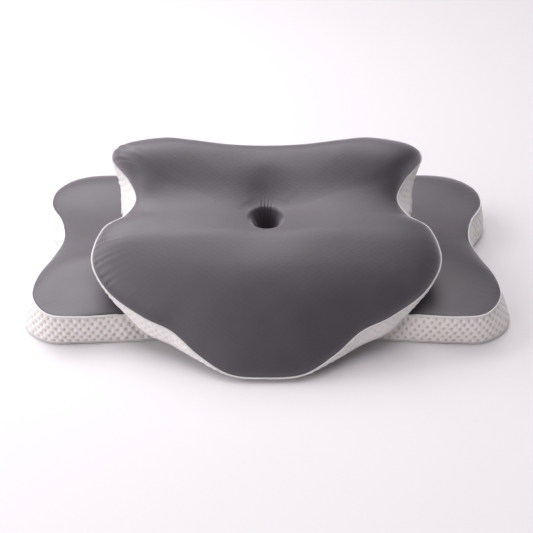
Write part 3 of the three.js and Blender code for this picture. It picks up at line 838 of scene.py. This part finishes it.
def top_panel(pillow):
    rng = np.random.default_rng(SEED + len(pillow["name"]))
    line = outline(pillow, pillow["samples"])
    radii, shares = ring_radii(), ring_shares(44)
    between = np.linspace(0, 1, 18)[1:-1]
    outer, station = panel_rows(pillow, line, 0, radii, between, shares)
    reach = np.concatenate([np.zeros(len(radii)), FIRST_SHARE * between, shares])
    relief = top_relief(pillow, line, outer, reach, rng)
    outer += settled(pillow, line, station) * free_of_load(pillow, outer)
    outer[..., 2] += relief
    lip = [wall_row(line, depth, line["seam"] + rise)
           for depth, rise in ((0.0, SEAM_GAP + 0.5), (0.25, SEAM_GAP + 0.1), (0.9, SEAM_GAP - 0.15))]
    outer = np.concatenate([outer, np.array(lip)])
    inner, _ = panel_rows(pillow, line, FABRIC, np.linspace(0.06, DISH_END, 14), np.linspace(0, 1, 8)[1:-1],
                          (*np.linspace(FIRST_SHARE, 0.9, 10), 0.95, 0.985))
    hem = wall_row(line, FABRIC, line["seam"] + SEAM_GAP)
    build = Build()
    shell(build, outer, np.concatenate([inner, [hem]]), ring=False)
    name = pillow["name"]
    panel = build.object(f"{name}_cover_top", pillow, "knit_grey")
    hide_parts(f"{name}_top_panel")


def bubbles(line, level):
    """The bubble knit at a height on the wall: its humps, and its three-cornered pits, 0 to 1."""
    columns = max(1, round(line["total"] / BUBBLE_PITCH[0]))
    across = TAU * columns * line["at"] / line["total"]
    up = TAU * level / BUBBLE_PITCH[1]
    hump = 0.5 + 0.5 * np.cos(across) * np.cos(up)
    above = -np.cos(across) * np.sin(up)
    pit = smooth((1 - hump - 0.25 * (1 - above) * np.sin(across) ** 2 - 0.42) / 0.5)
    return hump, pit


def gathered(pillow, line, rng):
    """Fine upright folds of the band where the cover's corners are gathered, in millimetres."""
    most, *waves = BAND_FOLDS
    depth = gathering(pillow, line, 0, forward=30, widen=1.6)
    return most * depth * ripple(line["at"], line["total"], *waves, rng)


def side_band(pillow):
    rng = np.random.default_rng(SEED + 20)
    line = outline(pillow, round(1.8 * pillow["samples"]))
    zip_ = pillow["zip"]
    seam = pillow["back"]["seam"]
    foot, top = FOOT_SEAM[1] + 0.3, seam - SEAM_GAP
    slot = [(zip_["level"] + half - foot) / (top - foot) for half in (-SLOT_HALF, SLOT_HALF)]
    spread = np.concatenate([
        np.linspace(0, slot[0], max(3, round(slot[0] * (top - foot))), endpoint=False),
        np.linspace(slot[0], slot[1], 12, endpoint=False),
        np.linspace(slot[1], 1, max(4, round((1 - slot[1]) * (top - foot)))),
    ])[::-1]
    low, high = foot, line["seam"] - SEAM_GAP
    sway, *sway_waves = BAND_SWAY
    wave = ripple(line["at"], line["total"], *sway_waves, rng)
    folds = gathered(pillow, line, rng)
    slack = pillow["slack"] * (1 - 0.85 * smooth(-45 * line["bend"]))
    reach = (zip_["half"] + SLOT_OVER) / pillow["back"]["radius"]
    half_x = pillow["back"]["radius"] * math.sin(reach)
    behind = line["y"] > 0
    in_slot = behind & (np.abs(line["x"]) < half_x + 6)
    rows, flats, pits = [], [], []
    for share in spread:
        z = low + (high - low) * share
        edge = smooth(np.minimum(share, 1 - share) * (high - low) / BAND_FADE)
        near_slot = np.where(in_slot, smooth((np.abs(z - zip_["level"]) - SLOT_HALF) / SLOT_FADE), 1)
        hump, pit = bubbles(line, z)
        relief = BUBBLE_DEPTH * (0.4 - (1 - hump) ** 1.5) - 0.35 * pit
        swell = relief * (0.35 + 0.65 * slack) * edge * near_slot + folds * edge
        tuck = -0.6 * (1 - edge) * near_slot
        rows.append(wall_row(line, 0, z, swell + tuck + sway * wave * edge * near_slot))
        flats.append(np.stack([line["at"], z], 1))
        # how strongly the painted shade of the pits shows on each point
        pits.append(pit * slack * edge * near_slot)
    slot_rows = [int(np.argmin(np.abs(spread - share))) for share in slot[::-1]]
    picks = [0, *slot_rows, len(spread) - 1]
    inner = np.array([wall_row(line, FABRIC, low + (high - low) * spread[k]) for k in picks])
    first, last = np.flatnonzero(behind & (np.abs(line["x"]) < half_x))[[0, -1]] + (-1, 1)
    build = Build()
    count = line["count"]
    o = build.add(rows, flats, pits)
    i = build.add(inner, np.array(flats)[picks])
    build.grid(o, len(rows), count, hole=(picks[1], picks[2], first, last))
    build.grid(i, 4, count, turned=True, hole=(1, 2, first, last))
    build.strip(o + (len(rows) - 1) * count, i + 3 * count, count)
    build.strip(i, o, count)
    band_slot(build, o, i, count, picks, first, last)
    name = pillow["name"]
    band = build.object(f"{name}_cover_side", pillow, "bubble_knit_white", wrap=line["total"])
    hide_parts(f"{name}_side_band")


def band_slot(build, o, i, count, picks, first, last):
    """Walls of the zip's opening, between the band's outer and inner faces."""
    span = last - first + 1
    build.strip(o + picks[1] * count + first, i + count + first, span, closed=False)
    build.strip(i + 2 * count + first, o + picks[2] * count + first, span, closed=False)
    for column, turned in ((first, False), (last, True)):
        outer = [o + r * count + column for r in range(picks[1], picks[2] + 1)]
        face = [*outer, i + 2 * count + column, i + count + column]
        build.faces.append(face[::-1] if turned else face)


def bottom_panel(pillow):
    """The flat base: two sheets with a rounded rim."""
    count, round_ = 360, 0.5
    line = outline(pillow, count)
    edge = FABRIC + PANEL_INSET
    under, over = np.zeros(count), np.full(count, FABRIC)
    foot, roof = wall_row(line, edge, under), wall_row(line, edge, over)
    inset, upset = wall_row(line, edge + round_, under), wall_row(line, edge + round_, over)
    foot[:, 2], roof[:, 2] = round_, FABRIC - round_

    def sheet(rim, level):
        rows = np.array([rim * share for share in (0.15, 0.35, 0.55, 0.75, 0.9, 0.97)])
        rows[..., 2] = level
        return rows

    rows = np.concatenate([sheet(inset, 0), [inset, foot, roof, upset], sheet(upset, FABRIC)[::-1]])
    build = Build()
    build.capped(rows)
    name = pillow["name"]
    panel = build.object(f"{name}_cover_base", pillow, "base_fabric")
    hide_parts(f"{name}_bottom_panel")


def seam_cord(pillow, which):
    """A sewn seam: a round ridge of fabric edge bound with twisted thread."""
    line = outline(pillow, 2 * pillow["samples"])
    rng = np.random.default_rng(SEED + 40)
    depth, radius = TOP_SEAM if which == "top" else LOW_SEAM
    level = line["seam"] if which == "top" else np.full(line["count"], sum(FOOT_SEAM) / 2)
    raised, length = SEAM_STITCH
    stitch = raised * np.cos(TAU * round(line["total"] / length) * line["at"] / line["total"])
    sway, *sway_waves = SEAM_SWAY
    wander = sway * ripple(line["at"], line["total"], *sway_waves, rng)
    sides = 8
    rows, flats = [], []
    for k in range(sides):
        turn = TAU * k / sides
        swell = radius + stitch * math.cos(2 * turn + 0.8)
        z = level + swell * math.sin(turn)
        out = wall_out(line, np.clip(level / line["seam"], 0, 1)) - depth + wander + swell * math.cos(turn)
        rows.append(beside(line, out, z))
        flats.append(np.stack([line["at"], np.full(line["count"], radius * turn)], 1))
    build = Build()
    start = build.add(rows, flats)
    build.grid(start, sides, line["count"])
    build.strip(start + (sides - 1) * line["count"], start, line["count"])
    name = pillow["name"]
    seam = build.object(f"{name}_{which}_seam_thread", pillow, "thread", wrap=line["total"])
    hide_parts(f"{name}_{which}_seam")


# ---------------- what the covers hold


def body_rows(pillow, line, depth, first_ring):
    shares = (*np.linspace(FIRST_SHARE, 0.9, 9), 0.95, 0.98)
    rings = np.linspace(first_ring, DISH_END, 12)
    top, _ = panel_rows(pillow, line, depth, rings, np.linspace(0, 1, 8)[1:-1], shares)
    rows = list(top)
    rows += [wall_row(line, depth, line["seam"] * share) for share in (0.93, 0.75, WALL_MIDDLE, 0.25)]
    rows[-4][:, 2] = np.minimum(rows[-4][:, 2], line["seam"] - depth)
    return [*rows, wall_row(line, depth, np.full(line["count"], depth))]


def foam_core(pillow):
    line = outline(pillow, BODY_SAMPLES)
    rows = body_rows(pillow, line, FOAM_IN, 0.25)
    hole = rows[0].copy()
    hole[:, 2] = FOAM_IN
    build = Build()
    start = build.add([hole, *rows])
    build.grid(start, len(rows) + 1, BODY_SAMPLES)
    build.strip(start + len(rows) * BODY_SAMPLES, start, BODY_SAMPLES)
    name = pillow["name"]
    foam = build.object(f"{name}_foam_block", pillow, "foam")
    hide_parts(f"{name}_foam_core")


def inner_liner(pillow):
    line = outline(pillow, BODY_SAMPLES)

    def face(depth):
        rows = body_rows(pillow, line, depth, 0.75)
        hem = rows[-1] * (LINER_HEM, LINER_HEM, 1)
        return np.array([*rows, hem])

    build = Build()
    shell(build, face(LINER_IN), face(LINER_IN + LINER), ring=True)
    name = pillow["name"]
    liner = build.object(f"{name}_foam_liner", pillow, "liner_fabric")
    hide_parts(f"{name}_inner_liner")


def centre_tie(pillow):
    """The sewn tab that holds the hollow down: a waisted bundle of thread between two discs."""
    low, high = FABRIC + 0.3, CAVITY_FLOOR - FABRIC - 0.3
    profile = [(4.4, low), (4.9, low + 0.3), (4.9, low + 0.7), (3.2, low + 1.1), (2.7, (low + high) / 2),
               (3.0, high - 1.1), (4.0, high - 0.7), (4.0, high - 0.3), (3.5, high)]
    angle = np.linspace(0, TAU, 24, endpoint=False)
    build = Build()
    build.capped([np.stack([r * np.cos(angle), r * np.sin(angle), np.full(24, z)], 1) for r, z in profile])
    name = pillow["name"]
    tie = build.object(f"{name}_hollow_tie", pillow, "thread")
    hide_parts(f"{name}_centre_tie")


# ---------------- zips


def zip_size(pillow):
    """The zip's height on the wall, half its length, and the radius of the back arc."""
    return pillow["zip"]["level"], pillow["zip"]["half"], pillow["back"]["radius"]


def along_arc(build, pillow, span, section, steps):
    """A bar that follows the back arc; section holds pairs of distance out and height."""
    rows, flats = [], []
    section = np.asarray(section, float)
    girth = np.concatenate([[0], np.cumsum(np.hypot(*np.diff(section, axis=0).T))])
    for angle in np.linspace(*span, steps + 1):
        rows.append(back_point(pillow, angle, section[:, 0], section[:, 1]))
        flats.append(np.stack([np.full(len(section), angle * pillow["back"]["radius"]), girth], 1))
    build.capped(rows, flats)


def zip_tape(pillow, side):
    level, half, radius = zip_size(pillow)
    reach = (half + SLOT_OVER - 0.4) / radius
    near, far = level + side * TAPE["from"], level + side * TAPE["to"]
    round_ = 0.25
    section = [
        (TAPE["in"], near + side * round_), (TAPE["in"] + round_, near), (TAPE["out"] - round_, near),
        (TAPE["out"], near + side * round_), (TAPE["out"] + 0.06, (near + far) / 2),
        (TAPE["out"], far - side * round_), (TAPE["out"] - round_, far), (TAPE["in"] + round_, far),
        (TAPE["in"], far - side * round_),
    ]
    build = Build()
    along_arc(build, pillow, (-reach, reach), section, 90)
    which = "upper" if side > 0 else "lower"
    name = pillow["name"]
    tape = build.object(f"{name}_zip_ribbon_{which}", pillow, "zip_tape")
    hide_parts(f"{name}_zip_tape_{which}")


def zip_coil(pillow, side):
    """One side of the zip: a nylon coil whose turns reach between the turns of the other side."""
    pitch, wire, steps = 1.5, 0.3, 12
    level, half, radius = zip_size(pillow)
    turns = int(2 * half / pitch)
    t = np.arange(turns * steps + 1) / steps
    inner, outer = 0.05, COIL_OFF + COIL_RADIUS - wire
    phase = TAU * t + (0 if side > 0 else math.pi)
    out = (COIL_RADIUS - wire) * np.sin(phase)
    height = level + side * ((inner + outer) / 2 - (outer - inner) / 2 * np.cos(TAU * t))
    angle = (-half + pitch * (t + (0 if side > 0 else 0.5)) * (turns / (turns + 0.5))) / radius
    line = back_point(pillow, angle, out, height)
    build = Build()
    tube(build, line, wire, 6)
    which = "upper" if side > 0 else "lower"
    name = pillow["name"]
    coil = build.object(f"{name}_zip_teeth_{which}", pillow, "zip_coil")
    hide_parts(f"{name}_zip_coil_{which}")


def wire_rows(line, side, up, radius, sides):
    """Rings of points round each point of a line, in the plane of its two cross directions."""
    turn = np.linspace(0, TAU, sides, endpoint=False)
    ring = side[:, None] * np.cos(turn)[None, :, None] + up[:, None] * np.sin(turn)[None, :, None]
    return line[:, None] + radius * ring


def tube(build, line, radius, sides):
    """A round wire along a line of points, closed at both ends."""
    along = np.gradient(line, axis=0)
    along /= np.linalg.norm(along, axis=1)[:, None]
    side = np.cross(along, (0, 0.2, 1))
    side /= np.linalg.norm(side, axis=1)[:, None]
    up = np.cross(along, side)
    build.capped(wire_rows(line, side, up, radius, sides))


def zip_stop(pillow, end):
    """A crimped metal clip round both coils."""
    level, half, radius = zip_size(pillow)
    span = [end * (half + 0.4) / radius, end * (half + 3.4) / radius]
    corners = [(-1.1, -2.2), (-0.7, -2.6), (0.7, -2.6), (1.1, -2.2), (1.1, -0.5), (0.75, 0),
               (1.1, 0.5), (1.1, 2.2), (0.7, 2.6), (-0.7, 2.6), (-1.1, 2.2)]
    build = Build()
    along_arc(build, pillow, sorted(span), [(out, level + z) for out, z in corners], 6)
    which = "closed" if end < 0 else "open"
    name = pillow["name"]
    stop = build.object(f"{name}_zip_clip_{which}", pillow, "zip_metal", smooth_faces=False)
    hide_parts(f"{name}_zip_{which}_stop")
    rounding = stop.modifiers.new("rounding", "BEVEL")
    rounding.width = 0.2 * MM
    rounding.segments = 2
    rounding.limit_method = "ANGLE"
    rounding.angle_limit = math.radians(35)


def zip_stitches(pillow):
    """Two rows of sewing along the zip, through the band's edge."""
    level, half, radius = zip_size(pillow)
    pitch, length, thread = 3.2, 2.3, 0.28
    build = Build()
    count = int(2 * (half + SLOT_OVER + 1) / pitch)
    for side in (-1, 1):
        for k in range(count):
            middle = -(half + SLOT_OVER + 1) + pitch * (k + 0.5)
            at = np.linspace(-length / 2, length / 2, 6)
            lift = 0.22 * np.cos(at / length * math.pi) - 0.9
            stitch = back_point(pillow, (middle + at) / radius, lift, level + side * (SLOT_HALF + 1.5))
            tube(build, stitch, thread, 6)
    build.object(f"{pillow['name']}_zip_sewing", pillow, "thread")


def slider_place(pillow):
    """The slider's own frame at rest: +X along the zip, +Y out of the wall, +Z across it."""
    radius = pillow["back"]["radius"]
    angle = -(pillow["zip"]["half"] - SLIDER_REST) / radius
    origin = back_point(pillow, angle, 0, pillow["zip"]["level"])
    turn = np.array(Matrix.Rotation(angle, 3, "Z"))
    return lambda points: np.asarray(points, float) @ turn.T + origin


def plate(build, place, outline_points, low, high, round_):
    """A flat plate in the slider's frame with rounded rims, from an outline in X and Z."""
    ring = np.asarray(outline_points, float)
    middle = ring.mean(0)

    def level(out, inset):
        scale = 1 - inset / np.abs(ring - middle).max(0)
        flat = middle + (ring - middle) * scale
        return place(np.stack([flat[:, 0], np.full(len(flat), out), flat[:, 1]], 1))

    rows = [level(low, round_), level(low + round_ * 0.4, round_ * 0.25), level(low + round_, 0),
            level(high - round_, 0), level(high - round_ * 0.4, round_ * 0.25), level(high, round_)]
    build.capped(rows)


def shield(half, front, rear, width, steps=8):
    """Outline of a slider's plate: wide and round at one end, narrower at the other."""
    t = np.linspace(-math.pi / 2, math.pi / 2, steps)
    nose = np.stack([front - half * 0.55 + half * 0.55 * np.cos(t), width * 0.78 * np.sin(t)], 1)
    t = np.linspace(math.pi / 2, 3 * math.pi / 2, steps)
    tail = np.stack([rear + half * 0.7 + half * 0.7 * np.cos(t), width * np.sin(t)], 1)
    return np.concatenate([nose, tail])


def zip_slider(pillow):
    build = Build()
    place = slider_place(pillow)
    outline_points = shield(4.5, 4.5, -4.5, 3.2)
    plate(build, place, outline_points, 1.2, 2.0, 0.3)
    plate(build, place, outline_points, -2.0, -1.2, 0.3)
    for side in (-1, 1):
        rail = np.stack([np.linspace(-2.6, 3.0, 9), np.full(9, 0.9), side * np.linspace(2.95, 2.55, 9)], 1)
        tube(build, place(rail), 0.42, 8)
    neck = shield(1.2, -1.6, -4.0, 0.5, 6)
    plate(build, place, neck, -1.6, 1.6, 0.1)
    t = np.linspace(0, math.pi, 15)
    arch = np.stack([2.6 * np.cos(t), 1.7 + 2.75 * np.sin(t) ** 0.6, np.zeros(15)], 1)
    for across in (-0.35, 0.35):
        tube(build, place(arch + (0, 0, across)), 0.42, 8)
    name = pillow["name"]
    slider = build.object(f"{name}_zip_runner", pillow, "zip_metal", f"{name}_slider")
    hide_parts(f"{name}_zip_slider")


def zip_puller(pillow):
    """A flat drop-shaped pull with a ridge round it, hung on the slider's arch by its bar."""
    build = Build()
    place = slider_place(pillow)
    out = PIVOT_OUT
    tube(build, place([(0, out, z) for z in np.linspace(-2.6, 2.6, 7)]), 0.62, 10)
    for side in (-1, 1):
        arm = [(x, out, side * (2.3 + 0.35 * math.sin(x / 6 * math.pi))) for x in np.linspace(-0.2, 6.5, 9)]
        tube(build, place(arm), 0.6, 8)
    t = np.linspace(0, TAU, 28, endpoint=False)
    blade = np.stack([12.6 + 8.1 * np.cos(t), (2.7 + 0.5 * np.cos(t)) * np.sin(t)], 1)
    plate(build, place, blade, out - 0.45, out + 0.45, 0.3)
    rim = np.stack([12.6 + 7.9 * np.cos(t), np.full(28, out), (2.6 + 0.45 * np.cos(t)) * np.sin(t)], 1)
    closed_tube(build, place(rim), 0.55, 8)
    name = pillow["name"]
    puller = build.object(f"{name}_zip_pull", pillow, "zip_metal", f"{name}_puller")
    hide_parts(f"{name}_zip_puller")


def closed_tube(build, line, radius, sides):
    """A round wire along a closed line of points."""
    along = np.roll(line, -1, 0) - np.roll(line, 1, 0)
    along /= np.linalg.norm(along, axis=1)[:, None]
    up = np.cross(along, np.roll(along, -1, 0))
    up = np.broadcast_to(up.sum(0) / np.linalg.norm(up.sum(0)), along.shape)
    side = np.cross(up, along)
    start = build.add(wire_rows(line, side, up, radius, sides))
    build.grid(start, len(line), sides)
    build.strip(start + (len(line) - 1) * sides, start, sides)


def make_pillow(pillow):
    top_panel(pillow)
    side_band(pillow)
    bottom_panel(pillow)
    seam_cord(pillow, "top")
    seam_cord(pillow, "bottom")
    foam_core(pillow)
    inner_liner(pillow)
    centre_tie(pillow)
    for side in (-1, 1):
        zip_tape(pillow, side)
        zip_coil(pillow, side)
        zip_stop(pillow, side)
    zip_stitches(pillow)
    zip_slider(pillow)
    zip_puller(pillow)


for one in (SMALL, LARGE):
    one["matrix"], one["tilt"] = placement(one)
    one["body"] = one["name"] + "_pillow"
SMALL["print"] = base_print(SMALL)
for one in (SMALL, LARGE):
    make_pillow(one)

# ---------------- floor, light and camera


def floor():
    half = FLOOR_HALF
    corners = [(-half, -half, 0), (half, -half, 0), (half, half, 0), (-half, half, 0)]
    mesh = bpy.data.meshes.new("floor")
    mesh.from_pydata(corners, [], [(0, 1, 2, 3)])
    obj = bpy.data.objects.new("floor", mesh)
    bpy.context.scene.collection.objects.link(obj)
    obj.location.z = -FLOOR_DROP
    n = Nodes("pale_floor")
    shade = n.noise(n.place(), 2.0, 2)
    obj.data.materials.append(n.finish(n.mix(shade, *FLOOR_TONES), 0.75))


def area_light(name, turn, rise, away, size, power):
    """A round soft light that looks at the pillows, from a bearing and a height in degrees."""
    data = bpy.data.lights.new(name, "AREA")
    data.shape = "DISK"
    data.size = size
    data.energy = power
    data.color = LIGHT_TINT
    obj = bpy.data.objects.new(name, data)
    bpy.context.scene.collection.objects.link(obj)
    turn, rise = math.radians(turn), math.radians(rise)
    towards = Vector((math.cos(turn) * math.cos(rise), math.sin(turn) * math.cos(rise), math.sin(rise)))
    obj.location = towards * away
    obj.rotation_euler = (Vector(LIGHT_TARGET) - obj.location).to_track_quat("-Z", "Y").to_euler()


def studio():
    world = bpy.data.worlds.new("studio")
    bpy.context.scene.world = world
    world.use_nodes = True
    sky = world.node_tree.nodes["Background"]
    sky.inputs["Color"].default_value = SKY_TINT
    sky.inputs["Strength"].default_value = SKY_STRENGTH
    for light in LIGHTS:
        area_light(*light)
    bpy.context.scene.view_settings.view_transform = "Standard"


def camera():
    data = bpy.data.cameras.new("camera")
    data.lens = CAMERA_LENS
    obj = bpy.data.objects.new("camera", data)
    bpy.context.scene.collection.objects.link(obj)
    away = Vector((0, -math.cos(CAMERA_UP), math.sin(CAMERA_UP)))
    obj.location = Vector(CAMERA_TARGET) + away * CAMERA_AWAY
    obj.rotation_euler = (-away).to_track_quat("-Z", "Y").to_euler()
    bpy.context.scene.camera = obj


floor()
studio()
camera()

bpy.context.view_layer.update()
